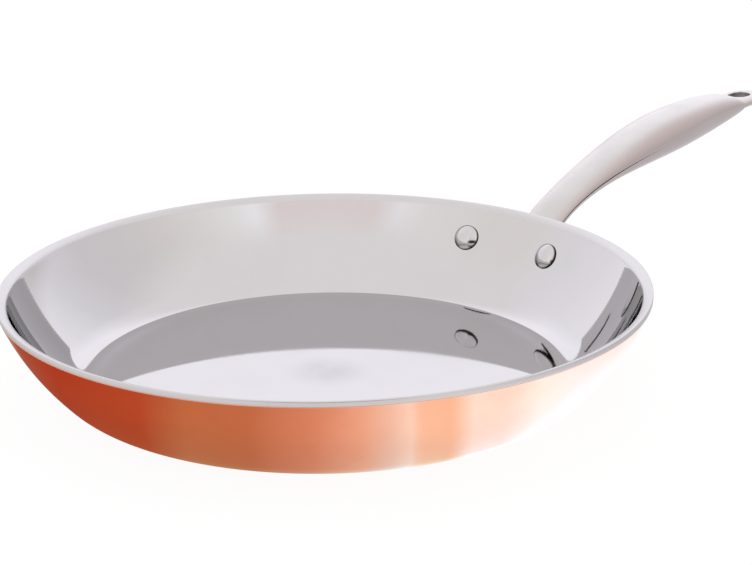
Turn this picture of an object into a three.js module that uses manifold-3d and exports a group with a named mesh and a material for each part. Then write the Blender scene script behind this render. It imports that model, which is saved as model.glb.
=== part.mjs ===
// A 28 cm frying pan: a bowl of copper, aluminium and polished steel pressed together,
// and a hollow satin steel handle on a bracket that two rivets hold to the wall.
// Millimetres, +Z up. The origin is the centre of the flat underside, and the handle
// points along +X.
import * as THREE from "three";
import { mergeVertices } from "three/addons/utils/BufferGeometryUtils.js";
import Module from "manifold-3d";

// Bowl
const RIM_RADIUS = 140; // outermost edge of the lip
const PAN_HEIGHT = 44.1; // underside to the crest of the lip
const RIM_ANGLE = 67.6; // degrees between the wall and the base at the copper's top edge
const WALL_CURVE = 106; // outside radius of the wall's gentle curve
const BASE_BEND = 25; // outside radius of the bend between base and wall
const COPPER_THICKNESS = 0.8;
const CORE_THICKNESS = 2.4;
const LINING_THICKNESS = 0.6;
const BOND_GAP = 0.1; // between one layer of the bowl and the next
const LIP_HEIGHT = 2.4; // the steel lip, from the copper's top edge to the crest
const LIP_OVERHANG = 0.1; // how far the lip stands out past the copper
const LIP_EDGE = 0.6; // rounding of the lip's outer edge
const LIP_FALL = 1; // how far the lip's top falls from the crest towards the pan

// Rivets
const RIVET_HEIGHT = 29.5; // of the rivets' axes where they leave the lining
const RIVET_SPACING = 46.8; // from one rivet's axis to the other's
const RIVET_HEAD_RADIUS = 6;
const RIVET_HEAD_HEIGHT = 2.8;
const RIVET_SHANK_RADIUS = 3;
const FORMED_HEAD_RADIUS = 5; // hammered end, outside the bracket
const FORMED_HEAD_HEIGHT = 1.8;
const HEAD_EDGE = 0.5; // straight edge under the dome of either head

// Bracket
const FLANGE_HEIGHT = 24;
const FLANGE_MARGIN = 12; // flange past each rivet's axis
const FLANGE_THICKNESS = 2.6;
const NECK_LENGTH = 12; // from the rim to where the shells begin
const NECK_HEAD_ROOM = 4; // between the foot of the neck and a rivet's head
const NECK_FOOT_HEIGHT = 18; // up the wall
const TONGUE_LENGTH = 14; // of the bracket and of the eye, inside the shells

// Handle
const HANDLE_LENGTH = 204; // from the rim to the tip
const START_HEIGHT = 30.6; // of the handle's axis where the shells begin
const START_SLOPE = 41.7; // degrees
const START_PULL = 44; // length of the axis curve's first arm
const TIP_HEIGHT = 61.3;
const TIP_SLOPE = -4.5; // degrees, a little downwards
const TIP_PULL = 35; // length of the axis curve's last arm
const GRIP_START = 25; // from the rim to where the neck begins to swell
const NECK_WIDTH = 20;
const NECK_THICKNESS = 7.6;
const SWELL_REACH = 118; // from the rim to the thickest place
const SWELL_WIDTH = 29.2;
const SWELL_THICKNESS = 18.3;
const SHELL_WALL = 1.5;
const EYE_LENGTH = 30; // the solid end piece, from the shells to the tip
const EYE_RADIUS = 10;
const EYE_THICKNESS = 5.5;
const SHOULDER_LENGTH = 5; // from the shells' end to where the flat end begins
const SHOULDER_POWER = 0.5; // less is a fuller shoulder
const HOLE_RADIUS = 4.7; // round ends of the oval hanging hole
const HOLE_LENGTH = 4; // between the centres of the two
const HOLE_INSET = 14.8; // from the tip to the middle of the hole

// Fits
const SEAT_GAP = 0.3; // between pieces that rest on each other
const WELD_GAP = 0.3; // between pieces that a weld joins

// Fineness of the faceted surfaces
const BOWL_SIDES = 60;
const ROUND_SIDES = 20;
const SECTION_SIDES = 24;
const SECTION_POWER = 2.5; // 2 is an ellipse, more is squarer
const ARC_STEPS = 2;
const DOME_STEPS = 3;
const LOFT_STEP = 7; // most that lies between two sections of the handle
const TIP_STEPS = 6;
const SHOULDER_STEPS = 4;
const TIP_SWEEP = 87.5; // degrees of the eye's round end, just short of a point
const AXIS_TOLERANCE = 1e-6; // of places on the handle's axis

const X_AXIS = new THREE.Vector3(1, 0, 0);
const Y_AXIS = new THREE.Vector3(0, 1, 0);
const Z_AXIS = new THREE.Vector3(0, 0, 1);
const wasm = await Module();
wasm.setup();

// The solid of a closed geometry, to be joined and cut.
function solidOf(geometry) {
  const bare = new THREE.BufferGeometry();
  bare.setAttribute("position", geometry.getAttribute("position"));
  bare.setIndex(geometry.getIndex());
  const merged = mergeVertices(bare);
  return new wasm.Manifold(
    new wasm.Mesh({
      numProp: 3,
      vertProperties: merged.getAttribute("position").array,
      triVerts: new Uint32Array(merged.getIndex().array),
    }),
  );
}

function geometryOf(solid) {
  const { vertProperties, triVerts, numProp } = solid.getMesh();
  const geometry = new THREE.BufferGeometry();
  geometry.setAttribute("position", new THREE.BufferAttribute(vertProperties, numProp));
  geometry.setIndex(new THREE.BufferAttribute(triVerts, 1));
  geometry.computeVertexNormals();
  return geometry;
}

// A turned piece: its profile holds radius and height, and it stands along +Z.
function turned(profile, sides) {
  return new THREE.LatheGeometry(profile, sides).rotateX(Math.PI / 2);
}

// A round bar along Z, used to drill holes.
function bar(radius, low, high) {
  const geometry = new THREE.CylinderGeometry(radius, radius, high - low, ROUND_SIDES);
  return geometry.rotateX(Math.PI / 2).translate(0, 0, (low + high) / 2);
}

// The bowl's outer line runs along the base, round the bend and up the curved wall.
// A layer at a depth inside that line keeps the same two centres.
const rimAngle = THREE.MathUtils.degToRad(RIM_ANGLE);
const copperTop = PAN_HEIGHT - LIP_HEIGHT;
const copperTopRadius = RIM_RADIUS - LIP_OVERHANG;
const coreDepth = COPPER_THICKNESS + BOND_GAP;
const liningDepth = coreDepth + CORE_THICKNESS + BOND_GAP;
const wallThickness = liningDepth + LINING_THICKNESS;
const wallCentreRadius = copperTopRadius - WALL_CURVE * Math.sin(rimAngle);
const wallCentreHeight = copperTop + WALL_CURVE * Math.cos(rimAngle);
const bendRun = Math.sqrt((WALL_CURVE - BASE_BEND) ** 2 - (wallCentreHeight - BASE_BEND) ** 2);
const baseRadius = wallCentreRadius + bendRun;
const bendAngle = Math.atan2(bendRun, wallCentreHeight - BASE_BEND);

// The angle between the wall and the base, at a depth and a height.
function wallAngle(depth, height) {
  return Math.acos((wallCentreHeight - height) / (WALL_CURVE - depth));
}

function wallRadius(depth, height) {
  return wallCentreRadius + (WALL_CURVE - depth) * Math.sin(wallAngle(depth, height));
}

const DOWN = -Math.PI / 2;

// Adds the base, the bend and the wall at a depth, from the axis out and up to a height.
function traceOut(path, depth, top) {
  const topAngle = wallAngle(depth, top);
  path.moveTo(0, depth);
  path.lineTo(baseRadius, depth);
  path.absarc(baseRadius, BASE_BEND, BASE_BEND - depth, DOWN, DOWN + bendAngle, false);
  path.absarc(
    wallCentreRadius,
    wallCentreHeight,
    WALL_CURVE - depth,
    DOWN + bendAngle,
    DOWN + topAngle,
    false,
  );
}

// Adds the same line the other way, from a height down and back to the axis.
function traceBack(path, depth, top) {
  const topAngle = wallAngle(depth, top);
  path.absarc(
    wallCentreRadius,
    wallCentreHeight,
    WALL_CURVE - depth,
    DOWN + topAngle,
    DOWN + bendAngle,
    true,
  );
  path.absarc(baseRadius, BASE_BEND, BASE_BEND - depth, DOWN + bendAngle, DOWN, true);
  path.lineTo(0, depth);
}

function bowlLayer(outerDepth, innerDepth, top) {
  const path = new THREE.Path();
  traceOut(path, outerDepth, top);
  traceBack(path, innerDepth, top);
  return turned(path.getPoints(ARC_STEPS), BOWL_SIDES);
}

// The lining turns outwards at the top into a lip that covers the other layers' edges. The lip's
// top falls a little from its crest and rounds off into the wall.
function liningWithLip() {
  const under = copperTop + BOND_GAP;
  const shoulder = PAN_HEIGHT - LIP_FALL;
  const path = new THREE.Path();
  traceOut(path, liningDepth, under);
  path.lineTo(RIM_RADIUS, under);
  path.lineTo(RIM_RADIUS, PAN_HEIGHT - LIP_EDGE);
  path.quadraticCurveTo(RIM_RADIUS, PAN_HEIGHT, RIM_RADIUS - LIP_EDGE, PAN_HEIGHT);
  path.quadraticCurveTo(
    wallRadius(wallThickness, shoulder),
    shoulder,
    wallRadius(wallThickness, under),
    under,
  );
  traceBack(path, wallThickness, under);
  return turned(path.getPoints(ARC_STEPS), BOWL_SIDES);
}

// All the room inside the bowl's outer line, swollen by the bracket's seat.
function bowlRoom() {
  const top = PAN_HEIGHT + LIP_HEIGHT;
  const path = new THREE.Path();
  traceOut(path, -SEAT_GAP, top);
  path.lineTo(0, top);
  return turned(path.getPoints(ARC_STEPS), BOWL_SIDES);
}

// A rivet stands square to the wall, with its own +Z into the pan and its zero on the lining.
const rivetReach = wallRadius(wallThickness, RIVET_HEIGHT);
const rivetAngle = wallAngle(wallThickness, RIVET_HEIGHT);
const rivetAzimuth = Math.asin(RIVET_SPACING / 2 / rivetReach);

function rivetFrame(side) {
  const outwards = new THREE.Vector3(Math.cos(rivetAzimuth), side * Math.sin(rivetAzimuth), 0);
  const group = new THREE.Group();
  group.position.copy(outwards).multiplyScalar(rivetReach).setZ(RIVET_HEIGHT);
  const inwards = outwards.multiplyScalar(-Math.sin(rivetAngle)).setZ(Math.cos(rivetAngle));
  group.quaternion.setFromUnitVectors(Z_AXIS, inwards);
  group.updateMatrix();
  return group;
}

// The factory head is part of a ball and clears the hollow of the wall, and the formed head
// grips the flange.
function rivet() {
  const hollow = RIVET_HEAD_RADIUS ** 2 / (2 * rivetReach);
  const facet = rivetReach * (1 - Math.cos(Math.PI / BOWL_SIDES));
  const headSeat = SEAT_GAP + hollow + facet;
  const formedSeat = -(wallThickness + SEAT_GAP + FLANGE_THICKNESS + SEAT_GAP);
  const crown = headSeat + RIVET_HEAD_HEIGHT;
  const dome = RIVET_HEAD_HEIGHT - HEAD_EDGE;
  const ball = (RIVET_HEAD_RADIUS ** 2 + dome ** 2) / (2 * dome);
  const path = new THREE.Path();
  path.moveTo(0, formedSeat - FORMED_HEAD_HEIGHT);
  path.quadraticCurveTo(
    FORMED_HEAD_RADIUS,
    formedSeat - FORMED_HEAD_HEIGHT,
    FORMED_HEAD_RADIUS,
    formedSeat - HEAD_EDGE,
  );
  path.lineTo(FORMED_HEAD_RADIUS, formedSeat);
  path.lineTo(RIVET_SHANK_RADIUS, formedSeat);
  path.lineTo(RIVET_SHANK_RADIUS, headSeat);
  path.lineTo(RIVET_HEAD_RADIUS, headSeat);
  path.absarc(0, crown - ball, ball, Math.acos(RIVET_HEAD_RADIUS / ball), Math.PI / 2, false);
  return turned(path.getPoints(DOME_STEPS), ROUND_SIDES);
}

// Drills both rivet holes through a piece.
function drilled(solid) {
  const inner = SEAT_GAP + RIVET_HEAD_HEIGHT;
  const outer = wallThickness + 2 * SEAT_GAP + FLANGE_THICKNESS + FORMED_HEAD_HEIGHT;
  let left = solid;
  for (const side of [-1, 1]) {
    const drill = bar(RIVET_SHANK_RADIUS + SEAT_GAP, -outer, inner);
    left = left.subtract(solidOf(drill.applyMatrix4(rivetFrame(side).matrix)));
  }
  return left;
}

// The handle's axis is one curve in the XZ plane, and every section stands square to it.
const tipX = RIM_RADIUS + HANDLE_LENGTH;
const eyeX = tipX - EYE_RADIUS;
const shellStartX = RIM_RADIUS + NECK_LENGTH;
const shellEndX = tipX - EYE_LENGTH;
const flatX = shellEndX + SHOULDER_LENGTH;
const swellX = RIM_RADIUS + SWELL_REACH;
const gripX = RIM_RADIUS + GRIP_START;
const flangeLevel = RIVET_HEIGHT - wallThickness * Math.cos(rivetAngle);
const loftStep = (shellEndX - shellStartX) / Math.ceil((shellEndX - shellStartX) / LOFT_STEP);

function arm(degrees, length) {
  const angle = THREE.MathUtils.degToRad(degrees);
  return new THREE.Vector3(Math.cos(angle), 0, Math.sin(angle)).multiplyScalar(length);
}

const start = new THREE.Vector3(shellStartX, 0, START_HEIGHT);
const tip = new THREE.Vector3(tipX, 0, TIP_HEIGHT);
const axis = new THREE.CubicBezierCurve3(
  start,
  start.clone().add(arm(START_SLOPE, START_PULL)),
  tip.clone().sub(arm(TIP_SLOPE, TIP_PULL)),
  tip,
);

// The axis point and direction at a distance x from the pan's centre line.
function axisAt(x) {
  if (x <= shellStartX) {
    const direction = axis.getTangent(0);
    return { point: start.clone().addScaledVector(direction, (x - shellStartX) / direction.x), direction };
  }
  let low = 0;
  let high = 1;
  while (high - low > AXIS_TOLERANCE) {
    const middle = (low + high) / 2;
    if (axis.getPoint(middle).x < x) low = middle;
    else high = middle;
  }
  return { point: axis.getPoint(low), direction: axis.getTangent(low) };
}

// Width and thickness ease from the neck to the swell. From there the thickness rounds off over
// a shoulder to the flat end, and the width goes on to the eye.
function eased(from, to, x, near, far) {
  return THREE.MathUtils.lerp(from, to, THREE.MathUtils.smoothstep(x, near, far));
}

function halfWidth(x) {
  if (x < swellX) return eased(NECK_WIDTH, SWELL_WIDTH, x, gripX, swellX) / 2;
  if (x < eyeX) return eased(SWELL_WIDTH / 2, EYE_RADIUS, x, swellX, eyeX);
  return Math.sqrt(EYE_RADIUS ** 2 - (x - eyeX) ** 2);
}

function halfThickness(x) {
  if (x < swellX) return eased(NECK_THICKNESS, SWELL_THICKNESS, x, gripX, swellX) / 2;
  const share = Math.min((x - swellX) / (flatX - swellX), 1);
  const taper = (1 - share ** 2) ** SHOULDER_POWER;
  return THREE.MathUtils.lerp(EYE_THICKNESS, SWELL_THICKNESS, taper) / 2;
}

// A ring of points on a softly squared oval, square to a direction in the XZ plane.
function oval(point, direction, halfAcross, halfAbove) {
  const up = new THREE.Vector3().crossVectors(direction, Y_AXIS);
  const bend = (value) => Math.sign(value) * Math.abs(value) ** (2 / SECTION_POWER);
  return Array.from({ length: SECTION_SIDES }, (_, k) => {
    const angle = (2 * Math.PI * k) / SECTION_SIDES;
    const across = halfAcross * bend(Math.cos(angle));
    const above = halfAbove * bend(Math.sin(angle));
    return point.clone().addScaledVector(Y_AXIS, across).addScaledVector(up, above);
  });
}

// One section of the handle, inset all round by a margin.
function section(x, margin) {
  const { point, direction } = axisAt(x);
  return oval(point, direction, halfWidth(x) - margin, halfThickness(x) - margin);
}

// A closed skin over a row of rings with equal counts of points.
function skin(rings) {
  const sides = rings[0].length;
  const centre = (ring) => ring.reduce((sum, p) => sum.add(p), new THREE.Vector3()).divideScalar(sides);
  const points = [...rings.flat(), centre(rings[0]), centre(rings.at(-1))];
  const backCentre = rings.length * sides;
  const last = (rings.length - 1) * sides;
  const index = [];
  for (let k = 0; k < sides; k += 1) {
    const next = (k + 1) % sides;
    index.push(backCentre, next, k);
    index.push(backCentre + 1, last + k, last + next);
    for (let low = 0; low < last; low += sides) {
      const high = low + sides;
      index.push(low + k, low + next, high + next);
      index.push(low + k, high + next, high + k);
    }
  }
  const geometry = new THREE.BufferGeometry().setFromPoints(points);
  geometry.setIndex(index);
  return geometry;
}

// Distances from near to far. All between them lie on one row of even steps, so that pieces
// that fit inside each other bend at the same places.
function stations(near, far) {
  const places = [near];
  let step = Math.floor((near - shellStartX) / loftStep) + 1;
  while (shellStartX + step * loftStep < far - AXIS_TOLERANCE) {
    places.push(shellStartX + step * loftStep);
    step += 1;
  }
  return [...places, far];
}

// A stretch of the handle's body, inset by a margin.
function stretch(places, margin) {
  return solidOf(skin(places.map((x) => section(x, margin))));
}

// Everything below the shells' seam, which follows the axis, lowered by a gap.
function belowSeam(near, far, gap) {
  const rings = stations(near, far).map((x) => {
    const { point, direction } = axisAt(x);
    const up = new THREE.Vector3().crossVectors(direction, Y_AXIS);
    const side = halfWidth(x) + SHELL_WALL;
    const floor = -halfThickness(x) - SHELL_WALL;
    const corners = [[side, floor], [side, -gap], [-side, -gap], [-side, floor]];
    return corners.map(([across, above]) =>
      point.clone().addScaledVector(Y_AXIS, across).addScaledVector(up, above),
    );
  });
  return solidOf(skin(rings));
}

// The tube that the two shells make together.
function shellTube() {
  const outside = stretch(stations(shellStartX, shellEndX), 0);
  const inside = stretch(stations(shellStartX - SHELL_WALL, shellEndX + SHELL_WALL), SHELL_WALL);
  return outside.subtract(inside);
}

function upperShell() {
  const lower = belowSeam(shellStartX - SHELL_WALL, shellEndX + SHELL_WALL, 0);
  return shellTube().subtract(lower);
}

function lowerShell() {
  const lower = belowSeam(shellStartX - SHELL_WALL, shellEndX + SHELL_WALL, WELD_GAP);
  return shellTube().intersect(lower);
}

// The bracket's flange: a long rounded plate bent to the wall.
function flange() {
  const corner = FLANGE_HEIGHT / 2;
  const reach = RIVET_SPACING / 2 + FLANGE_MARGIN - corner;
  const outline = new THREE.Shape();
  outline.absarc(reach, flangeLevel, corner, -Math.PI / 2, Math.PI / 2, false);
  outline.absarc(-reach, flangeLevel, corner, Math.PI / 2, (3 * Math.PI) / 2, false);
  const block = new THREE.ExtrudeGeometry(outline, {
    depth: RIM_RADIUS,
    bevelEnabled: false,
    curveSegments: ROUND_SIDES / 2,
  });
  block.applyMatrix4(new THREE.Matrix4().makeBasis(Y_AXIS, Z_AXIS, X_AXIS));
  block.translate(RIM_RADIUS / 2, 0, 0);
  const band = bowlLayer(-SEAT_GAP - FLANGE_THICKNESS, -SEAT_GAP, copperTop);
  return solidOf(band).intersect(solidOf(block));
}

// The bracket's neck runs from an oval foot on the wall to the shells' first section.
function neck() {
  const footWidth = RIVET_SPACING - 2 * (RIVET_HEAD_RADIUS + NECK_HEAD_ROOM);
  const footReach = wallRadius(wallThickness, flangeLevel);
  const footPoint = new THREE.Vector3(footReach, 0, flangeLevel);
  const footDirection = arm(THREE.MathUtils.radToDeg(rivetAngle) - 90, 1);
  const foot = oval(footPoint, footDirection, footWidth / 2, NECK_FOOT_HEIGHT / 2);
  const end = section(shellStartX - WELD_GAP, 0);
  return solidOf(skin([foot, end])).subtract(solidOf(bowlRoom()));
}

// The bracket: the flange, the neck, and a tongue inside the shells.
function bracket() {
  const tongue = stretch(
    stations(shellStartX - NECK_LENGTH / 2, shellStartX + TONGUE_LENGTH),
    SHELL_WALL + SEAT_GAP,
  );
  return drilled(flange().add(neck()).add(tongue));
}

// The hanging hole's room: an oval, straight up and down.
function ovalHole() {
  const outline = new THREE.Shape();
  outline.absarc(HOLE_LENGTH / 2, 0, HOLE_RADIUS, -Math.PI / 2, Math.PI / 2, false);
  outline.absarc(-HOLE_LENGTH / 2, 0, HOLE_RADIUS, Math.PI / 2, (3 * Math.PI) / 2, false);
  const oval = new THREE.ExtrudeGeometry(outline, {
    depth: 2 * SWELL_THICKNESS,
    bevelEnabled: false,
    curveSegments: ROUND_SIDES / 2,
  });
  return oval.translate(tipX - HOLE_INSET, 0, TIP_HEIGHT - SWELL_THICKNESS);
}

// Distances over the shoulder, closer together where it is steep.
function shoulder(near) {
  const first = Math.asin((near - swellX) / (flatX - swellX));
  return Array.from({ length: SHOULDER_STEPS + 1 }, (_, i) => {
    const angle = THREE.MathUtils.lerp(first, Math.PI / 2, i / SHOULDER_STEPS);
    return swellX + (flatX - swellX) * Math.sin(angle);
  });
}

// The eye: a tongue inside the shells, a shoulder and a flat rounded end with the hanging hole.
function hangingEye() {
  const rounding = Array.from({ length: TIP_STEPS }, (_, i) => {
    const angle = THREE.MathUtils.degToRad((TIP_SWEEP * (i + 1)) / TIP_STEPS);
    return eyeX + EYE_RADIUS * Math.sin(angle);
  });
  const flat = stations(flatX, eyeX).slice(1);
  const lug = stretch([...shoulder(shellEndX + WELD_GAP), ...flat, ...rounding], 0);
  const tongue = stretch(
    stations(shellEndX - TONGUE_LENGTH, (shellEndX + flatX) / 2),
    SHELL_WALL + SEAT_GAP,
  );
  return lug.add(tongue).subtract(solidOf(ovalHole()));
}

// Finishes
const copper = { color: 0xc8693f, roughness: 0.18, metalness: 1 };
const aluminium = { color: 0xc4c6c8, roughness: 0.5, metalness: 1 };
const polishedSteel = { color: 0xd6d6d8, roughness: 0.1, metalness: 1 };
const satinSteel = { color: 0xcbc8c6, roughness: 0.38, metalness: 1 };

function piece(name, geometry, finish) {
  const mesh = new THREE.Mesh(geometry, new THREE.MeshStandardMaterial(finish));
  mesh.name = name;
  return mesh;
}

function cutPiece(name, solid, finish) {
  return piece(name, geometryOf(solid), finish);
}

const bowl = new THREE.Group();
const copperLayer = bowlLayer(0, COPPER_THICKNESS, copperTop);
const coreLayer = bowlLayer(coreDepth, coreDepth + CORE_THICKNESS, copperTop);
bowl.add(cutPiece("copper_shell", drilled(solidOf(copperLayer)), copper));
bowl.add(cutPiece("aluminium_core", drilled(solidOf(coreLayer)), aluminium));
bowl.add(cutPiece("steel_lining", drilled(solidOf(liningWithLip())), polishedSteel));

const handle = new THREE.Group();
handle.add(cutPiece("handle_bracket", bracket(), satinSteel));
handle.add(cutPiece("handle_upper_shell", upperShell(), satinSteel));
handle.add(cutPiece("handle_lower_shell", lowerShell(), satinSteel));
handle.add(cutPiece("hanging_eye", hangingEye(), satinSteel));

const pan = new THREE.Group();
pan.add(bowl, handle);
for (const [name, side] of [["rivet_left", 1], ["rivet_right", -1]]) {
  const frame = rivetFrame(side);
  frame.add(piece(name, rivet(), polishedSteel));
  pan.add(frame);
}

export default pan;
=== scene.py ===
import math

import bmesh
import bpy
from mathutils import Matrix, Vector


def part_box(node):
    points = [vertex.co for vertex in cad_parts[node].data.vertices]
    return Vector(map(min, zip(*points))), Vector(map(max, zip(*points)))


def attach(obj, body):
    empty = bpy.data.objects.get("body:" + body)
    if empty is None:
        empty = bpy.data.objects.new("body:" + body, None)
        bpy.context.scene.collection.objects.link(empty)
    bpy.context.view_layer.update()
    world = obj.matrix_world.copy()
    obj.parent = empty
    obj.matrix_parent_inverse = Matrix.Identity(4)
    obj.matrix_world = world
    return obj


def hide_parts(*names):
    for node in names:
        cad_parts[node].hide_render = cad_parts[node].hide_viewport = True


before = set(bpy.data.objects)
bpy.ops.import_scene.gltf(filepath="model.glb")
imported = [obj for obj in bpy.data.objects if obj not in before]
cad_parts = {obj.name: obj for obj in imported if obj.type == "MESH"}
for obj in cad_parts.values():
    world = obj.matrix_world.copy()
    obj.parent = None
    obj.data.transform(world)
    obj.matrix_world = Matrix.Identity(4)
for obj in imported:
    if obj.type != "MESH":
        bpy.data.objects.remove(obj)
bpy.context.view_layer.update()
scene = bpy.context.scene

# Copper shell: the outside of the bowl. Copper sheet is pressed to shape together with the
# aluminium and steel inside it, spun smooth, polished bright and lacquered against tarnish.
# Its top edge stops just under the steel lip.
RIM_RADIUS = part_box("steel_lining")[1].x
PAN_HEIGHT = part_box("steel_lining")[1].z
COPPER_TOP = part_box("copper_shell")[1].z
COPPER_TOP_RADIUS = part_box("copper_shell")[1].x
RIM_ANGLE = math.radians(67.6)
WALL_CURVE = 0.106
BASE_BEND = 0.025
COPPER_THICKNESS = 0.0008
BASE_MARGIN = 0.001
BOWL_SIDES = 256
BEND_STEPS = 24
WALL_STEPS = 28
CREASE = math.radians(35)

wall_centre_radius = COPPER_TOP_RADIUS - WALL_CURVE * math.sin(RIM_ANGLE)
wall_centre_height = COPPER_TOP + WALL_CURVE * math.cos(RIM_ANGLE)
bend_rise = wall_centre_height - BASE_BEND
bend_run = math.sqrt((WALL_CURVE - BASE_BEND) ** 2 - bend_rise**2)
base_radius = wall_centre_radius + bend_run
bend_angle = math.atan2(bend_run, bend_rise)


def wall_angle(depth, height):
    """The wall's angle to the base at a depth inside the copper and at a height."""
    return math.acos((wall_centre_height - height) / (WALL_CURVE - depth))


def wall_radius(depth, height):
    """The wall's distance from the pan's centre line at that depth and height."""
    return wall_centre_radius + (WALL_CURVE - depth) * math.sin(wall_angle(depth, height))


def spread(start, end, steps):
    """Evenly spaced values, both ends among them."""
    return [start + (end - start) * i / steps for i in range(steps + 1)]


def arc(radius, height, reach, start, end, steps):
    """Profile points on an arc whose angles are measured from straight down."""
    return [(radius + reach * math.sin(a), height - reach * math.cos(a)) for a in spread(start, end, steps)]


def bowl_line(depth, top):
    """The bowl's line at a depth inside the copper, from the centre out and up to a height."""
    top_angle = wall_angle(depth, top)
    bend = arc(base_radius, BASE_BEND, BASE_BEND - depth, 0, bend_angle, BEND_STEPS)
    reach = WALL_CURVE - depth
    wall = arc(wall_centre_radius, wall_centre_height, reach, bend_angle, top_angle, WALL_STEPS)
    return [(0, depth), (base_radius / 2, depth), (base_radius - BASE_MARGIN, depth)] + bend + wall[1:]


def made(name, bm):
    """A smooth-shaded object of a finished mesh, with its real edges kept crisp."""
    bmesh.ops.recalc_face_normals(bm, faces=bm.faces)
    mesh = bpy.data.meshes.new(name)
    bm.to_mesh(mesh)
    bm.free()
    mesh.shade_smooth()
    mesh.set_sharp_from_angle(angle=CREASE)
    piece = bpy.data.objects.new(name, mesh)
    scene.collection.objects.link(piece)
    return piece


def turned(name, line, sides):
    """A piece turned about Z from a profile that starts and ends on the axis."""
    bm = bmesh.new()
    first = bm.verts.new((0, 0, line[0][1]))
    last = bm.verts.new((0, 0, line[-1][1]))
    angles = [2 * math.pi * k / sides for k in range(sides)]
    rings = [[bm.verts.new((r * math.cos(a), r * math.sin(a), h)) for a in angles] for r, h in line[1:-1]]
    for k in range(sides):
        n = (k + 1) % sides
        bm.faces.new((first, rings[0][n], rings[0][k]))
        bm.faces.new((last, rings[-1][k], rings[-1][n]))
        for low, high in zip(rings, rings[1:]):
            bm.faces.new((low[k], low[n], high[n], high[k]))
    return made(name, bm)


def joined(piece, tool, operation):
    """Cuts a second closed mesh out of a piece, or welds it on, and drops the second mesh."""
    step = piece.modifiers.new(operation, "BOOLEAN")
    step.operation = operation
    step.solver = "EXACT"
    step.object = tool
    result = bpy.data.meshes.new_from_object(piece.evaluated_get(bpy.context.evaluated_depsgraph_get()))
    piece.modifiers.clear()
    piece.data = result
    bpy.data.objects.remove(tool)
    result.set_sharp_from_angle(angle=CREASE)


# The rivets' places are needed here first: every layer of the wall is drilled for them.
WALL_THICKNESS = 0.004
RIVET_HEIGHT = 0.0295
RIVET_SPACING = 0.0468
RIVET_SHANK_RADIUS = 0.003
HOLE_ROOM = 0.0003
DRILL_LENGTH = 0.012
ROUND_SIDES = 48
rivet_reach = wall_radius(WALL_THICKNESS, RIVET_HEIGHT)
rivet_angle = wall_angle(WALL_THICKNESS, RIVET_HEIGHT)
rivet_azimuth = math.asin(RIVET_SPACING / 2 / rivet_reach)


def rivet_place(side):
    """A rivet's own frame: zero on the lining and +Z square to it, into the pan."""
    turn = Matrix.Rotation(side * rivet_azimuth, 4, "Z")
    shift = Matrix.Translation((rivet_reach, 0, RIVET_HEIGHT))
    return turn @ shift @ Matrix.Rotation(-rivet_angle, 4, "Y")


def drill(piece):
    """Drills a layer of the wall, or the flange behind it, for both rivets."""
    radius = RIVET_SHANK_RADIUS + HOLE_ROOM
    line = [(0, -DRILL_LENGTH), (radius, -DRILL_LENGTH), (radius, DRILL_LENGTH / 2), (0, DRILL_LENGTH / 2)]
    for side in (1, -1):
        bit = turned("drill_bit", line, ROUND_SIDES)
        bit.data.transform(rivet_place(side))
        joined(piece, bit, "DIFFERENCE")


RELIEF_DEPTH = 0.0001


class Wire:
    """One socket in a finish's nodes. Sums and products of wires add Math nodes."""

    def __init__(self, tree, socket=None):
        self.tree = tree
        self.socket = socket

    def feed(self, node, sockets):
        """Links wires into a node's sockets and sets plain values on them."""
        for key, value in sockets.items():
            target = node.inputs[key]
            if isinstance(value, Wire):
                self.tree.links.new(value.socket, target)
            elif target.type == "RGBA":
                target.default_value = (*value, 1)
            else:
                target.default_value = value

    def node(self, kind, settings=None, sockets=None, output=0):
        """Adds a node: its settings first, then its sockets. Gives the outputs asked for."""
        node = self.tree.nodes.new("ShaderNode" + kind)
        for key, value in (settings or {}).items():
            if key == "stops":
                ramp = node.color_ramp.elements
                for _ in value[2:]:
                    ramp.new(1)
                for stop, (position, colour) in zip(ramp, value):
                    stop.position = position
                    stop.color = (*colour, 1)
            else:
                setattr(node, key, value)
        self.feed(node, sockets or {})
        if isinstance(output, tuple):
            return [Wire(self.tree, node.outputs[key]) for key in output]
        return Wire(self.tree, node.outputs[output])

    def math(self, operation, *values):
        return self.node("Math", {"operation": operation}, dict(enumerate(values)))

    def ease(self, start, end):
        """0 before start, 1 after end, and smooth between them."""
        limits = {"Value": self, "From Min": start, "From Max": end}
        return self.node("MapRange", {"interpolation_type": "SMOOTHSTEP"}, limits)

    def tint(self, low, high):
        """A colour between two, by this wire from 0 to 1."""
        return self.node("Mix", {"data_type": "RGBA"}, {0: self, 6: low, 7: high}, 2)

    def split(self):
        """The three coordinates of a place or a direction."""
        return self.node("SeparateXYZ", sockets={"Vector": self}, output=("X", "Y", "Z"))

    def noise(self, scale, detail, roughness=0.5):
        """Cloudy noise over a place."""
        sockets = {"Vector": self, "Scale": scale, "Detail": detail, "Roughness": roughness}
        return self.node("TexNoise", {}, sockets)

    def ripples(self, scale):
        """Fine uneven lines along a length, as spinning and polishing leave them."""
        sockets = {"W": self, "Scale": scale, "Detail": 2}
        return self.node("TexNoise", {"noise_dimensions": "1D"}, sockets)

    def relief(self, strength):
        """A surface normal that takes this wire as the surface's height."""
        return self.node("Bump", {}, {"Strength": strength, "Distance": RELIEF_DEPTH, "Height": self})

    def __abs__(self):
        return self.math("ABSOLUTE", self)

    def __add__(self, other):
        return self.math("ADD", self, other)

    def __radd__(self, other):
        return self.math("ADD", other, self)

    def __sub__(self, other):
        return self.math("SUBTRACT", self, other)

    def __rsub__(self, other):
        return self.math("SUBTRACT", other, self)

    def __mul__(self, other):
        return self.math("MULTIPLY", self, other)

    def __rmul__(self, other):
        return self.math("MULTIPLY", other, self)

    def __truediv__(self, other):
        return self.math("DIVIDE", self, other)

    def __pow__(self, other):
        return self.math("POWER", self, other)


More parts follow.
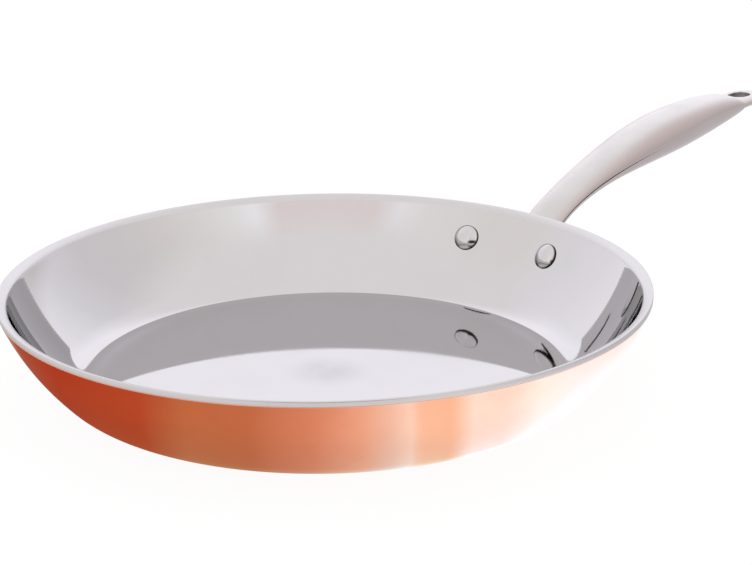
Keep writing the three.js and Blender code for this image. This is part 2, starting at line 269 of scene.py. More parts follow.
def finish(name):
    """A new material, a loose wire to add its nodes with, and its shader."""
    material = bpy.data.materials.new(name)
    material.use_nodes = True
    return material, Wire(material.node_tree), material.node_tree.nodes["Principled BSDF"]


def fit(piece, node, material):
    """Gives a piece its finish and sets it in the place of its solid."""
    piece.data.materials.clear()
    piece.data.materials.append(material)
    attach(piece, "root")
    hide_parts(node)


def place_on(wire):
    """Where a point of a surface is, in the pan's own frame."""
    return wire.node("TexCoord", output="Object")


def reach_of(x, y):
    """How far a place is from an upright axis."""
    return (x * x + y * y) ** 0.5


def turned_place(wire):
    """Where a point is on a turned surface: its place, its reach from the axis and its height."""
    place = place_on(wire)
    x, y, z = place.split()
    return place, reach_of(x, y), z


COPPER_BRIGHT = (0.94, 0.47, 0.34)
COPPER_DEEP = (0.90, 0.42, 0.29)
COPPER_EDGE = 0.00012
UNDERSIDE_RISE = (0.0001, 0.0012)

copper_inner = bowl_line(COPPER_THICKNESS, COPPER_TOP)
copper_line = bowl_line(0, COPPER_TOP - COPPER_EDGE)
copper_line.append((copper_line[-1][0] - COPPER_EDGE / 2, COPPER_TOP))
copper_skin = turned("copper_skin", copper_line + copper_inner[::-1], BOWL_SIDES)
drill(copper_skin)

copper_finish, wire, shader = finish("polished_copper")
place, reach, height = turned_place(wire)
clouds = place.noise(24, 5, 0.6)
smears = place.noise(90, 3)
spun_lines = (reach + height).ripples(1400)
underside = 1 - height.ease(*UNDERSIDE_RISE)
scuffs = underside * spun_lines.ease(0.45, 0.7)
sheen = 0.07 + 0.05 * clouds.ease(0.4, 0.7) + 0.03 * smears.ease(0.5, 0.75)
wire.feed(shader, {
    "Base Color": clouds.ease(0.35, 0.7).tint(COPPER_BRIGHT, COPPER_DEEP),
    "Metallic": 1,
    "Roughness": sheen + 0.18 * scuffs,
    "Coat Weight": 1 - 0.8 * underside,
    "Coat Roughness": 0.04,
    "Normal": spun_lines.relief(0.05),
})
fit(copper_skin, "copper_shell", copper_finish)

# Aluminium core: the heat-spreading layer between copper and steel, bonded to both.
# It is plain rolled sheet, closed in on every side, and shows only if the bowl is cut open.
LAYER_GAP = 0.0001
CORE_THICKNESS = 0.0024
ALUMINIUM = (0.60, 0.61, 0.62)
ALUMINIUM_DULL = (0.54, 0.55, 0.56)
ROLLING_GRAIN = (30, 900, 900)

core_depth = COPPER_THICKNESS + LAYER_GAP
core_outer = bowl_line(core_depth, COPPER_TOP)
core_inner = bowl_line(core_depth + CORE_THICKNESS, COPPER_TOP)
core_sheet = turned("core_sheet", core_outer + core_inner[::-1], BOWL_SIDES)
drill(core_sheet)

core_finish, wire, shader = finish("rolled_aluminium")
rolling = wire.node("Mapping", {}, {"Vector": place_on(wire), "Scale": ROLLING_GRAIN})
grain = rolling.noise(1, 3)
wire.feed(shader, {
    "Base Color": grain.tint(ALUMINIUM, ALUMINIUM_DULL),
    "Metallic": 1,
    "Roughness": 0.35 + 0.2 * grain,
})
fit(core_sheet, "aluminium_core", core_finish)

# Steel lining: the inside of the pan, polished to a mirror. At the top the stainless sheet
# turns outwards over the edges of the other two layers and makes the bright lip.
LIP_EDGE = 0.0006
LIP_FALL = 0.001
LIP_STEPS = 10
LIP_FOOT_STEPS = 3
BRUSH_REACH = 0.0029
BRUSH_FADE = 0.0008
CENTRE_RUB = (0.003, 0.022)
STEEL = (0.63, 0.62, 0.635)
STEEL_DULL = (0.585, 0.575, 0.59)
STEEL_RUBBED = (0.535, 0.525, 0.54)
STEEL_GRAZING = (0.82, 0.82, 0.82)


def curve(start, control, end, steps):
    """Profile points on a quadratic curve, without its first point."""
    points = []
    for t in spread(0, 1, steps)[1:]:
        shares = ((1 - t) ** 2, 2 * t * (1 - t), t**2)
        points.append(tuple(sum(s * p[i] for s, p in zip(shares, (start, control, end))) for i in (0, 1)))
    return points


lip_under = COPPER_TOP + LAYER_GAP
lip_start = (wall_radius(WALL_THICKNESS, lip_under), lip_under)
lip_shoulder = (wall_radius(WALL_THICKNESS, PAN_HEIGHT - LIP_FALL), PAN_HEIGHT - LIP_FALL)
lip_crest = (RIM_RADIUS - LIP_EDGE, PAN_HEIGHT)
lip_side = (RIM_RADIUS, PAN_HEIGHT - LIP_EDGE)
lip_foot = (RIM_RADIUS, lip_under + COPPER_EDGE)
lip_line = curve(lip_start, lip_shoulder, lip_crest, LIP_STEPS)
lip_line += curve(lip_crest, (RIM_RADIUS, PAN_HEIGHT), lip_side, LIP_STEPS)
lip_line.append(lip_foot)
lip_inside = (RIM_RADIUS - COPPER_EDGE, lip_under)
lip_line += curve(lip_foot, (RIM_RADIUS, lip_under), lip_inside, LIP_FOOT_STEPS)
lining_depth = core_depth + CORE_THICKNESS + LAYER_GAP
lining_inner = bowl_line(WALL_THICKNESS, lip_under)
lining_outer = bowl_line(lining_depth, lip_under)
polished_lining = turned("polished_lining", lining_inner + lip_line + lining_outer[::-1], BOWL_SIDES)
drill(polished_lining)

lining_finish, wire, shader = finish("mirror_steel")
place, reach, height = turned_place(wire)
haze = place.noise(30, 4, 0.6)
polish_lines = (reach + height).ripples(1700)
centre_mark = (1 - reach.ease(*CENTRE_RUB)) * haze.ease(0.1, 0.55)
brush_start = PAN_HEIGHT - BRUSH_REACH
brushed_lip = height.ease(brush_start, brush_start + BRUSH_FADE)
bright = (0.4 * haze.ease(0.45, 0.8)).tint(STEEL, STEEL_DULL)
wire.feed(shader, {
    "Base Color": centre_mark.tint(bright, STEEL_RUBBED),
    "Metallic": 1,
    "Roughness": 0.025 + 0.03 * haze.ease(0.4, 0.75) + 0.06 * centre_mark + 0.26 * brushed_lip,
    "Specular Tint": STEEL_GRAZING,
    "Normal": polish_lines.relief(0.02),
})
fit(polished_lining, "steel_lining", lining_finish)

# Handle bracket: a forged steel piece with a flange bent to the wall, which the rivets hold,
# a short neck that flares out of it, and a tongue that the handle's shells are welded round.
SEAT_GAP = 0.0003
FLANGE_THICKNESS = 0.0026
FLANGE_HEIGHT = 0.024
FLANGE_MARGIN = 0.012
FLANGE_EDGE = 0.001
FLANGE_EDGE_STEPS = 5
FLANGE_FACE_STEPS = 6
FLANGE_FACE_START = 0.96
FLANGE_TURN_STEPS = 8
FLANGE_RUN_STEPS = 14
NECK_LENGTH = 0.012
NECK_HEAD_ROOM = 0.004
NECK_FOOT_HEIGHT = 0.018
NECK_FLARE = 0.0022
FLARE_SHARE = 0.35
NECK_STEPS = 24
NECK_ARMS = (0.005, 0.007)
TONGUE_LENGTH = 0.014
TONGUE_STEPS = 6
WELD_LINE = 0.00001
SHELL_WALL = 0.0015
HEAD_RADIUS = 0.006
SECTION_POWER = 2.5
SECTION_SIDES = 96
AXIS_PRECISION = 1e-7

# The handle's line and sizes are needed here first: neck and tongue follow them.
HANDLE_LENGTH = 0.204
START_HEIGHT = 0.0306
START_SLOPE = math.radians(41.7)
START_PULL = 0.044
TIP_HEIGHT = 0.0613
TIP_SLOPE = math.radians(-4.5)
TIP_PULL = 0.035
GRIP_START = 0.025
NECK_WIDTH = 0.020
NECK_THICKNESS = 0.0076
SWELL_REACH = 0.118
SWELL_WIDTH = 0.0292
SWELL_THICKNESS = 0.0183
EYE_LENGTH = 0.030
EYE_RADIUS = 0.010
EYE_THICKNESS = 0.0055
SHOULDER_LENGTH = 0.005
SHOULDER_POWER = 0.5
tip_x = RIM_RADIUS + HANDLE_LENGTH
eye_x = tip_x - EYE_RADIUS
shell_start_x = RIM_RADIUS + NECK_LENGTH
shell_end_x = tip_x - EYE_LENGTH
flat_x = shell_end_x + SHOULDER_LENGTH
swell_x = RIM_RADIUS + SWELL_REACH
grip_x = RIM_RADIUS + GRIP_START
flange_level = RIVET_HEIGHT - WALL_THICKNESS * math.cos(rivet_angle)
ACROSS = Vector((0, 1, 0))


def heading(angle):
    """A direction in the XZ plane at an angle above +X."""
    return Vector((math.cos(angle), 0, math.sin(angle)))


def along(ends, t):
    """The point and direction at a share of a cubic curve given by its four points."""
    a, b, c, d = ends
    u = 1 - t
    point = u**3 * a + 3 * u * u * t * b + 3 * u * t * t * c + t**3 * d
    direction = u * u * (b - a) + 2 * u * t * (c - b) + t * t * (d - c)
    return point, direction.normalized()


axis_start = Vector((shell_start_x, 0, START_HEIGHT))
axis_tip = Vector((tip_x, 0, TIP_HEIGHT))
handle_axis = (
    axis_start,
    axis_start + START_PULL * heading(START_SLOPE),
    axis_tip - TIP_PULL * heading(TIP_SLOPE),
    axis_tip,
)


def axis_at(x):
    """The point and direction of the handle's axis at a distance from the pan's centre line."""
    if x <= shell_start_x:
        direction = heading(START_SLOPE)
        return axis_start + direction * ((x - shell_start_x) / direction.x), direction
    low, high = 0, 1
    while high - low > AXIS_PRECISION:
        middle = (low + high) / 2
        if along(handle_axis, middle)[0].x < x:
            low = middle
        else:
            high = middle
    return along(handle_axis, low)


def eased(start, end, x, near, far):
    """A size that goes smoothly from start to end between two places along the handle."""
    share = min(max((x - near) / (far - near), 0), 1)
    return start + (end - start) * share * share * (3 - 2 * share)


def half_width(x):
    """Half the handle's width: even at the neck, widest at the swell and round at the tip."""
    if x < swell_x:
        return eased(NECK_WIDTH, SWELL_WIDTH, x, grip_x, swell_x) / 2
    if x < eye_x:
        return eased(SWELL_WIDTH / 2, EYE_RADIUS, x, swell_x, eye_x)
    return math.sqrt(max(EYE_RADIUS**2 - (x - eye_x) ** 2, 0))


def half_thickness(x):
    """Half the handle's thickness: thin at the neck, full at the swell and flat past the shoulder."""
    if x < swell_x:
        return eased(NECK_THICKNESS, SWELL_THICKNESS, x, grip_x, swell_x) / 2
    taper = (1 - min((x - swell_x) / (flat_x - swell_x), 1) ** 2) ** SHOULDER_POWER
    return (EYE_THICKNESS + (SWELL_THICKNESS - EYE_THICKNESS) * taper) / 2


def squared(value):
    """A sine or cosine swollen towards the corners of a softly squared oval."""
    return math.copysign(abs(value) ** (2 / SECTION_POWER), value)


def oval(point, direction, half_across, half_above, angles):
    """Points on a softly squared oval that stands square to a direction in the XZ plane."""
    up = direction.cross(ACROSS)
    return [
        point + ACROSS * half_across * squared(math.cos(a)) + up * half_above * squared(math.sin(a))
        for a in angles
    ]


ROUND = [2 * math.pi * k / SECTION_SIDES for k in range(SECTION_SIDES)]


def section(x, margin):
    """One whole section of the handle, inset by a margin."""
    return oval(*axis_at(x), half_width(x) - margin, half_thickness(x) - margin, ROUND)


def skinned(name, rings, folded=False):
    """A closed skin over rings. A folded ring runs out and back, so its ends close across."""
    bm = bmesh.new()
    loops = [[bm.verts.new(point) for point in ring] for ring in rings]
    count = len(rings[0])
    for low, high in zip(loops, loops[1:]):
        for k in range(count):
            n = (k + 1) % count
            bm.faces.new((low[k], low[n], high[n], high[k]))
    for end in (loops[0], loops[-1]):
        if folded:
            for k in range(count // 2 - 1):
                bm.faces.new((end[k], end[k + 1], end[-2 - k], end[-1 - k]))
        else:
            bm.faces.new(end)
    return made(name, bm)


def flange_ring(inset, depth):
    """The flange's outline, inset and laid on the wall at a depth; it runs out and back."""
    corner = FLANGE_HEIGHT / 2 - inset
    reach = RIVET_SPACING / 2 + FLANGE_MARGIN - FLANGE_HEIGHT / 2
    turns = [math.pi / 2 * (k + 0.5) / FLANGE_TURN_STEPS for k in range(FLANGE_TURN_STEPS)]
    upper = [(reach + corner * math.cos(a), corner * math.sin(a)) for a in turns]
    upper += [(y, corner) for y in spread(reach, -reach, FLANGE_RUN_STEPS)]
    upper += [(-reach - corner * math.cos(a), corner * math.sin(a)) for a in turns[::-1]]
    ring = []
    for y, rise in upper + [(y, -rise) for y, rise in upper[::-1]]:
        height = flange_level + rise
        ring.append(Vector((math.sqrt(wall_radius(depth, height) ** 2 - y * y), y, height)))
    return ring


flange_inner = -SEAT_GAP
flange_outer = -SEAT_GAP - FLANGE_THICKNESS
face_insets = spread(FLANGE_HEIGHT / 2 * FLANGE_FACE_START, FLANGE_EDGE, FLANGE_FACE_STEPS)
edge_turns = spread(0, math.pi / 2, FLANGE_EDGE_STEPS)
flange_rings = [flange_ring(inset, flange_inner) for inset in face_insets + [0]]
flange_rings += [
    flange_ring(FLANGE_EDGE * (1 - math.cos(a)), flange_outer + FLANGE_EDGE * (1 - math.sin(a)))
    for a in edge_turns
]
flange_rings += [flange_ring(inset, flange_outer) for inset in face_insets[-2::-1]]
forged_bracket = skinned("forged_bracket", flange_rings, folded=True)

foot_depth = flange_outer + FLANGE_THICKNESS / 2
foot_direction = heading(rivet_angle - math.pi / 2)
foot_point = Vector((wall_radius(foot_depth, flange_level), 0, flange_level))
foot_half_width = RIVET_SPACING / 2 - HEAD_RADIUS - NECK_HEAD_ROOM
neck_end, neck_direction = axis_at(shell_start_x - WELD_LINE)
neck_path = (
    foot_point,
    foot_point + NECK_ARMS[0] * foot_direction,
    neck_end - NECK_ARMS[1] * neck_direction,
    neck_end,
)
neck_rings = []
for share in spread(0, 1, NECK_STEPS):
    flare = NECK_FLARE * max(1 - share / FLARE_SHARE, 0) ** 2
    across = eased(foot_half_width - NECK_FLARE, NECK_WIDTH / 2, share, 0, 1) + flare
    above = eased(NECK_FOOT_HEIGHT / 2 - NECK_FLARE, NECK_THICKNESS / 2, share, 0, 1) + flare
    neck_rings.append(oval(*along(neck_path, share), across, above, ROUND))
tongue_margin = SHELL_WALL + SEAT_GAP
neck_rings.append(section(shell_start_x - WELD_LINE, tongue_margin))
neck_tongue = spread(shell_start_x, shell_start_x + TONGUE_LENGTH, TONGUE_STEPS)
neck_rings += [section(x, tongue_margin) for x in neck_tongue]
joined(forged_bracket, skinned("neck", neck_rings), "UNION")
drill(forged_bracket)

SATIN = (0.665, 0.65, 0.65)
SATIN_DULL = (0.61, 0.595, 0.595)
# Painted shade: the handle's sides, away from the middle of its width, are coloured darker and warmer.
SATIN_SIDE_SHADE = (0.53, 0.465, 0.455)
SIDE_SHADE_TURN = (0.005, 0.012)
BRUSH_STROKES = (40, 1500, 1500)


def satin(name):
    """Satin steel, brushed along the handle, with painted shade: its sides are coloured darker and warmer
    than its top and underside.
    """
    material, wire, shader = finish(name)
    place = place_on(wire)
    strokes = wire.node("Mapping", {}, {"Vector": place, "Scale": BRUSH_STROKES})
    brushing = strokes.noise(1, 3, 0.6)
    wear = place.noise(45, 4)
    across = place.split()[1]
    side = abs(across).ease(*SIDE_SHADE_TURN)
    rubbed = (0.5 * brushing + 0.5 * wear.ease(0.3, 0.7)).tint(SATIN, SATIN_DULL)
    # Painted shade on the sides, over the brushed and worn colour.
    colour = side.tint(rubbed, SATIN_SIDE_SHADE)
    wire.feed(shader, {
        "Base Color": colour,
        "Metallic": 1,
        "Roughness": 0.30 + 0.06 * brushing + 0.06 * wear.ease(0.35, 0.7),
        "Normal": brushing.relief(0.4),
    })
    return material, wire, shader, colour


satin_finish = satin("satin_steel")[0]
fit(forged_bracket, "handle_bracket", satin_finish)

# Rivets: two solid stainless rivets through lining, core, copper and flange. Each has a low
# bright dome inside the pan and a smaller head hammered down on the flange outside.
HEAD_HEIGHT = 0.0028
HEAD_EDGE = 0.0005
HEAD_EDGE_STEPS = 4
FORMED_RADIUS = 0.005
FORMED_HEIGHT = 0.0018
HEAD_REST = 0.00005
# Painted shade and a dark joint: a thin ring round the foot of each dome is coloured nearly black.
FOOT_HEIGHT = 0.0010
FOOT_FADE = 0.0005
FOOT_SHADE_AND_JOINT = (0.06, 0.055, 0.05)
DOME_STEPS = 14
head_seat = HEAD_REST + HEAD_RADIUS**2 / (2 * rivet_reach)
formed_seat = -(WALL_THICKNESS + SEAT_GAP + FLANGE_THICKNESS + HEAD_REST)
formed_end = (0, formed_seat - FORMED_HEIGHT)
formed_side = (FORMED_RADIUS, formed_seat - HEAD_EDGE)
head_side = (HEAD_RADIUS, head_seat + HEAD_EDGE)
head_crown = head_seat + HEAD_HEIGHT
head_dome = HEAD_HEIGHT - HEAD_EDGE
head_ball = (HEAD_RADIUS**2 + head_dome**2) / (2 * head_dome)
head_sweep = math.asin(HEAD_RADIUS / head_ball)
rivet_line = [formed_end]
rivet_line += curve(formed_end, (FORMED_RADIUS, formed_end[1]), formed_side, DOME_STEPS)
rivet_line += [(FORMED_RADIUS, formed_seat), (RIVET_SHANK_RADIUS, formed_seat)]
rivet_line += [(RIVET_SHANK_RADIUS, head_seat), (HEAD_RADIUS - HEAD_EDGE / 2, head_seat)]
rivet_line += curve(rivet_line[-1], (HEAD_RADIUS, head_seat), head_side, HEAD_EDGE_STEPS)
rivet_line += arc(0, head_crown - head_ball, head_ball, math.pi - head_sweep, math.pi, DOME_STEPS)[1:]

rivet_finish, wire, shader = finish("bright_rivet_steel")
place = place_on(wire)
rubs = place.noise(420, 4, 0.6)
x, y, z = place.split()
seat = rivet_place(1).to_translation()
lean = rivet_place(1).to_3x3().col[2]
rise = (x - seat.x) * lean.x + (abs(y) - seat.y) * lean.y + (z - seat.z) * lean.z
# Painted shade and a dark joint line where each dome meets the lining.
foot_shade_and_joint = rise.ease(-FOOT_FADE, 0) * (1 - rise.ease(head_seat + HEAD_EDGE, head_seat + FOOT_HEIGHT))
wire.feed(shader, {
    "Base Color": foot_shade_and_joint.tint(rubs.ease(0.4, 0.8).tint(STEEL, STEEL_DULL), FOOT_SHADE_AND_JOINT),
    "Metallic": 1,
    "Roughness": 0.05 + 0.05 * rubs,
    "Specular Tint": STEEL_GRAZING,
    "Normal": rubs.relief(0.08),
})
for name, node, side in (("left_rivet", "rivet_left", 1), ("right_rivet", "rivet_right", -1)):
    rivet = turned(name, rivet_line, ROUND_SIDES)
    rivet.data.transform(rivet_place(side))
    fit(rivet, node, rivet_finish)

# Handle shells: an upper and a lower half stamped from stainless sheet, welded edge to edge
# at mid-height round the bracket's tongue and satin finished all over. The seam stays as a
# fine line near the pan and is ground away towards the tip.
SEAM_GAP = 0.0005
SEAM_FADE = (0.187, 0.246)
SEAM_BEVEL = 0.0004
SHELL_STEPS = 81
SHELL_POINTS = 46


def seam_angle(half, level):
    """The oval's angle at which its side is at a level above its middle."""
    return math.copysign(math.asin(min(abs(level) / half, 1) ** (SECTION_POWER / 2)), level)


def shell_ring(x, upper):
    """A shell's section: the outside from seam to seam, then back along the inside."""
    point, direction = axis_at(x)
    up = direction.cross(ACROSS)
    across, above = half_width(x), half_thickness(x)
    gap = SEAM_GAP * (1 - eased(0, 1, x, *SEAM_FADE)) + WELD_LINE
    bevel = gap / SEAM_GAP * SEAM_BEVEL
    sign = 1 if upper else -1
    seam = 0 if upper else -gap

    def sweep(half, level, steps):
        start = seam_angle(half, level)
        end = math.pi - start if upper else -math.pi - start
        return spread(start, end, steps)

    outside = oval(point, direction, across, above, sweep(above, seam + sign * bevel, SHELL_POINTS))
    corner = seam_angle(above, seam)
    side = across * squared(math.cos(corner)) - bevel
    edges = [point + ACROSS * side * way + up * seam for way in (1, -1)]
    inner_half = above - SHELL_WALL
    inside_angles = sweep(inner_half, seam, SHELL_POINTS + 2)
    inside = oval(point, direction, across - SHELL_WALL, inner_half, inside_angles)
    return [edges[0], *outside, edges[1], *inside[::-1]]


shell_stations = spread(shell_start_x, shell_end_x, SHELL_STEPS)
for name, node, upper in (
    ("lower_handle", "handle_lower_shell", False),
    ("upper_handle", "handle_upper_shell", True),
):
    shell = skinned(name, [shell_ring(x, upper) for x in shell_stations], folded=True)
    fit(shell, node, satin_finish)

# Hanging eye: the solid end of the handle, welded into the shells by its own tongue. A round
# shoulder closes the handle, and past it the steel is forged flat and has an oval hole for a
# hook. The hole is punched, and its wall carries painted shade: it is coloured a darker grey.
HOLE_RADIUS = 0.0047
HOLE_LENGTH = 0.004
HOLE_INSET = 0.0148
HOLE_EDGE = 0.0005
HOLE_STEPS = 24
HOLE_EDGE_STEPS = 5
HOLE_EDGE_SWEEP = 1.3
SHOULDER_STEPS = 24
FLAT_STEPS = 10
TIP_STEPS = 26
TIP_SWEEP = math.radians(88.5)

lug_start = shell_end_x + WELD_LINE
shoulder_turn = math.asin((lug_start - swell_x) / (flat_x - swell_x))
lug_stations = [
    swell_x + (flat_x - swell_x) * math.sin(a) for a in spread(shoulder_turn, math.pi / 2, SHOULDER_STEPS)
]
lug_stations += spread(flat_x, eye_x, FLAT_STEPS)[1:]
lug_stations += [eye_x + EYE_RADIUS * math.sin(a) for a in spread(0, TIP_SWEEP, TIP_STEPS)[1:]]
eye_tongue = spread(shell_end_x - TONGUE_LENGTH, lug_start, TONGUE_STEPS)
eye_rings = [section(x, tongue_margin) for x in eye_tongue] + [section(x, 0) for x in lug_stations]
hanging_end = skinned("hanging_end", eye_rings)
hole_x = tip_x - HOLE_INSET


def hole_ring(grow, lift, side):
    """The hole's outline swollen by grow, at a lift above the top of the end or below its underside."""
    point, direction = axis_at(hole_x)
    up = direction.cross(ACROSS)
    ring = []
    for shift, start in ((HOLE_LENGTH / 2, -math.pi / 2), (-HOLE_LENGTH / 2, math.pi / 2)):
        for a in spread(start, start + math.pi, HOLE_STEPS):
            forward = (HOLE_RADIUS + grow) * math.cos(a) + shift
            across = (HOLE_RADIUS + grow) * math.sin(a)
            near = axis_at(hole_x + forward)[0]
            bulge = 1 - (abs(across) / half_width(hole_x + forward)) ** SECTION_POWER
            rise = half_thickness(hole_x + forward) * bulge ** (1 / SECTION_POWER) + lift
            level = (near - point).dot(up) + side * rise
            ring.append(point + direction * forward + ACROSS * across + up * level)
    return ring


hole_turns = spread(0, HOLE_EDGE_SWEEP, HOLE_EDGE_STEPS)
hole_edge = [(HOLE_EDGE * (1 - math.cos(a)), HOLE_EDGE * (math.sin(a) - 1)) for a in hole_turns]
hole_edge.append((hole_edge[-1][0] + HOLE_EDGE, HOLE_EDGE / 2))
hole_rings = [hole_ring(*step, -1) for step in hole_edge[::-1]]
hole_rings += [hole_ring(*step, 1) for step in hole_edge]
joined(hanging_end, skinned("hole_cutter", hole_rings), "DIFFERENCE")

# Painted shade: the hole's wall is coloured a darker grey, fading out just past its edge.
HOLE_SHADE_STEEL = (0.42, 0.39, 0.40)
HOLE_SHADE_FADE = (0.0001, 0.0004)

eye_finish, wire, shader, colour = satin("punched_satin_steel")
forward, across = place_on(wire).split()[:2]
past_end = wire.math("MAXIMUM", abs(forward - hole_x) - HOLE_LENGTH / 2, 0)
off_hole = reach_of(past_end, across) - HOLE_RADIUS
# Painted shade in the hole, over the satin colour.
hole_shade = 1 - off_hole.ease(*HOLE_SHADE_FADE)
wire.feed(shader, {"Base Color": hole_shade.tint(colour, HOLE_SHADE_STEEL)})
fit(hanging_end, "hanging_eye", eye_finish)

# Camera: a long lens a metre away, a little above the rim, with the handle pointing away to
# the right. It is rolled very slightly, as the rim's tilt shows.
CAMERA_PLACE = Vector((-0.7017, -0.6323, 0.3566))
CAMERA_AIM = Vector((0.0700, 0.0315, 0.0200))
CAMERA_ROLL = math.radians(0.56)
CAMERA_LENS = 110.94

lens = bpy.data.cameras.new("camera")
lens.lens = CAMERA_LENS
lens.sensor_width = 36
lens.sensor_fit = "HORIZONTAL"
camera = bpy.data.objects.new("camera", lens)
scene.collection.objects.link(camera)
camera_gaze = CAMERA_AIM - CAMERA_PLACE
camera_heading = math.atan2(camera_gaze.y, camera_gaze.x)
aim = camera_gaze.to_track_quat("-Z", "Y").to_matrix().to_4x4()
camera.matrix_world = Matrix.Translation(CAMERA_PLACE) @ aim @ Matrix.Rotation(-CAMERA_ROLL, 4, "Z")
scene.camera = camera
scene.view_settings.view_transform = "Standard"

# Floor: a pale table top under the pan, which the camera sees nearly white, with the pan's own
# soft shadow. Polished metal sees it in the light of the two lists below instead: deep red to
# the left of the camera, and bluish and up to 1.6 times as bright as white to its right.
FLOOR_SIZE = 12
FLOOR_LEVEL = -0.0001
FLOOR_COLOUR = (0.9, 0.9, 0.9)
FLOOR_GLOW = 0.93
FLOOR_WHITE = 1.02
BASE_SHADE = 0.14
SHADE_REACH = (0.112, 0.145)
NEAR_REACH = (0.17, 0.21)
BRIGHTEST = 2.0
WHITE = (1, 1, 1)
BLACK = (0, 0, 0)


def light(red, green, blue):
    """A light's colour, as shares of the brightest light in the studio."""
    return red / BRIGHTEST, green / BRIGHTEST, blue / BRIGHTEST


def card(bearing, red, green, blue):
    """A stop of a ramp of light: a bearing in degrees, anticlockwise from the handle, and its light."""
    return bearing / 360, light(red, green, blue)


def bearing_of(x, y):
    """Where round the pan a place or a direction lies: 0 along the handle, 1 after a full turn."""
    turns = y.math("ARCTAN2", y, x) / (2 * math.pi)
    return turns.math("FRACT", turns)


# This isn't plain light. The near list was worked out from the copper's tones in the photograph
# and adjusted against renders, and the far list was set by trial against renders.
NEAR_TABLE = [
    card(0, 0.95, 0.95, 0.95),
    card(60, 0.90, 0.88, 0.86),
    card(105, 0.60, 0.40, 0.30),
    card(128, 0.40, 0.10, 0.06),
    card(152, 0.44, 0.07, 0.03),
    card(181, 0.50, 0.12, 0.05),
    card(192, 0.57, 0.28, 0.14),
    card(206, 0.58, 0.28, 0.15),
    card(219, 0.76, 0.46, 0.32),
    card(229, 0.94, 0.74, 0.60),
    card(235, 0.98, 1.02, 0.98),
    card(239, 1.10, 1.26, 1.28),
    card(241, 1.09, 1.03, 0.87),
    card(248, 1.10, 0.97, 0.78),
    card(253, 1.25, 1.46, 1.54),
    card(261, 1.25, 1.41, 1.47),
    card(271, 1.48, 1.65, 1.80),
    card(283, 1.45, 1.60, 1.82),
    card(303, 1.10, 1.24, 1.28),
    card(320, 1.00, 1.00, 1.00),
    card(360, 0.95, 0.95, 0.95),
]
FAR_TABLE = [
    card(0, 1.04, 1.03, 1.08),
    card(20, 1.04, 1.03, 1.08),
    card(40, 0.95, 0.95, 0.95),
    card(250, 1.08, 1.02, 0.98),
    card(300, 0.78, 0.74, 0.74),
    card(352, 0.86, 0.88, 0.92),
    card(360, 1.04, 1.03, 1.08),
]

floor_mesh = bpy.data.meshes.new("floor")
half_floor = FLOOR_SIZE / 2
floor_corners = [
    (x * half_floor, y * half_floor, FLOOR_LEVEL) for x, y in ((-1, -1), (1, -1), (1, 1), (-1, 1))
]
floor_mesh.from_pydata(floor_corners, [], [(0, 1, 2, 3)])
floor = bpy.data.objects.new("floor", floor_mesh)
scene.collection.objects.link(floor)

floor_finish, wire, _ = finish("pale_floor")
x, y = place_on(wire).split()[:2]
reach = reach_of(x, y)
turn = bearing_of(x, y)
near_light = wire.node("ValToRGB", {"stops": NEAR_TABLE}, {"Fac": turn})
far_light = wire.node("ValToRGB", {"stops": FAR_TABLE}, {"Fac": turn})
shade = 1 - BASE_SHADE + BASE_SHADE * reach.ease(*SHADE_REACH)
shaded_light = shade.tint(BLACK, near_light)
table_light = reach.ease(*NEAR_REACH).tint(shaded_light, far_light)
seen, mirrored = wire.node("LightPath", output=("Is Camera Ray", "Is Glossy Ray"))
paint = wire.node("BsdfDiffuse", {}, {"Color": FLOOR_COLOUR})
white = wire.node("Emission", {}, {"Color": WHITE, "Strength": FLOOR_WHITE})
mirror_image = wire.node("Emission", {}, {"Color": table_light, "Strength": BRIGHTEST})
pale = wire.node("MixShader", {}, {0: seen * FLOOR_GLOW, 1: paint, 2: white})
wire.feed(floor_finish.node_tree.nodes["Material Output"], {
    "Surface": wire.node("MixShader", {}, {0: mirrored, 1: pale, 2: mirror_image}),
})
floor_mesh.materials.append(floor_finish)

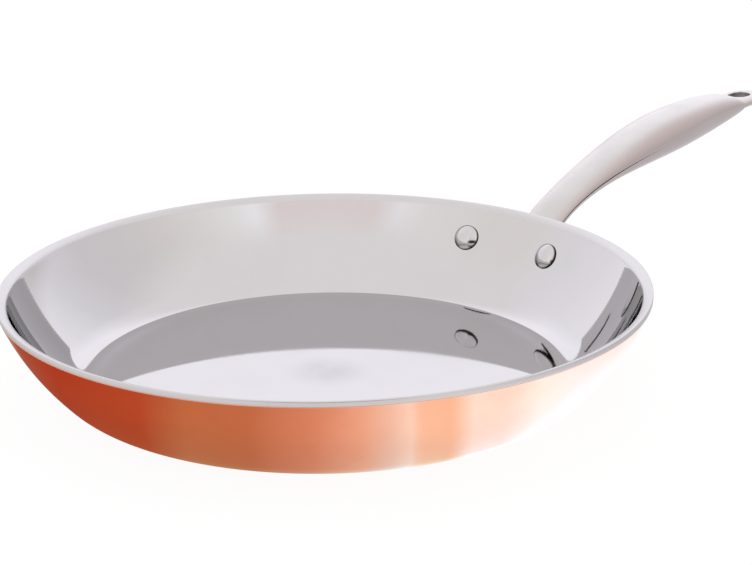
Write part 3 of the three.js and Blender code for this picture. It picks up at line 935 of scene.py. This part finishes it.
# Studio light: soft white cards all round, the whitest behind the pan, a softer one overhead
# and a greyer one low to the camera's right. It is dark low down, straight behind the camera.
# The cards' light was worked out from the reflections in the photograph's steel lining.
STUDIO_CARDS = [
    card(0, 1.10, 1.08, 1.13),
    card(21, 1.34, 1.32, 1.38),
    card(61, 1.34, 1.32, 1.38),
    card(71, 1.24, 1.22, 1.28),
    card(91, 1.12, 1.09, 1.13),
    card(111, 1.05, 1.03, 1.05),
    card(131, 1.02, 0.98, 0.95),
    card(151, 1.02, 0.99, 0.95),
    card(179, 1.09, 1.05, 1.02),
    card(190, 1.16, 1.14, 1.15),
    card(200, 1.07, 0.96, 0.94),
    card(241, 1.06, 0.95, 0.93),
    card(251, 1.22, 1.21, 1.22),
    card(262, 1.12, 1.10, 1.08),
    card(291, 0.97, 0.93, 0.89),
    card(311, 0.90, 0.86, 0.86),
    card(331, 0.89, 0.86, 0.87),
    card(351, 1.00, 0.98, 1.02),
    card(360, 1.10, 1.08, 1.13),
]
OVERHEAD = light(1.05, 1.02, 1.01)
LOW_CARD = light(0.74, 0.70, 0.68)
OVERHEAD_RISE = (0.55, 0.82)
LOW_RISE = (0.03, 0.22)
LOW_FACING = (0.3, 0.8)
DARK_RISE = (0.08, 0.20)
DARK_FACING = (0.80, 0.97)
DARK_TILT = 0.25
DARK_SHARE = 0.97

world = bpy.data.worlds.new("studio")
scene.world = world
world.use_nodes = True
wire = Wire(world.node_tree)
gaze = wire.node("TexCoord", output="Generated")
x, y, z = gaze.split()
ahead = x * math.cos(camera_heading) + y * math.sin(camera_heading)
aside = x * math.sin(camera_heading) - y * math.cos(camera_heading)
back = wire.math("MAXIMUM", 0 - ahead, 0)
around = wire.node("ValToRGB", {"stops": STUDIO_CARDS}, {"Fac": bearing_of(x, y)})
lit = z.ease(*OVERHEAD_RISE).tint(around, OVERHEAD)
low = (1 - z.ease(*LOW_RISE)) * aside.ease(*LOW_FACING)
dark = (1 - (z - DARK_TILT * back).ease(*DARK_RISE)) * back.ease(*DARK_FACING)
studio = (DARK_SHARE * dark).tint(low.tint(lit, LOW_CARD), BLACK)
cards = wire.node("Background", {}, {"Color": studio, "Strength": BRIGHTEST})
white = wire.node("Background", {}, {"Color": WHITE, "Strength": 1})
seen = wire.node("LightPath", output="Is Camera Ray")
wire.feed(world.node_tree.nodes["World Output"], {
    "Surface": wire.node("MixShader", {}, {0: seen, 1: cards, 2: white}),
})
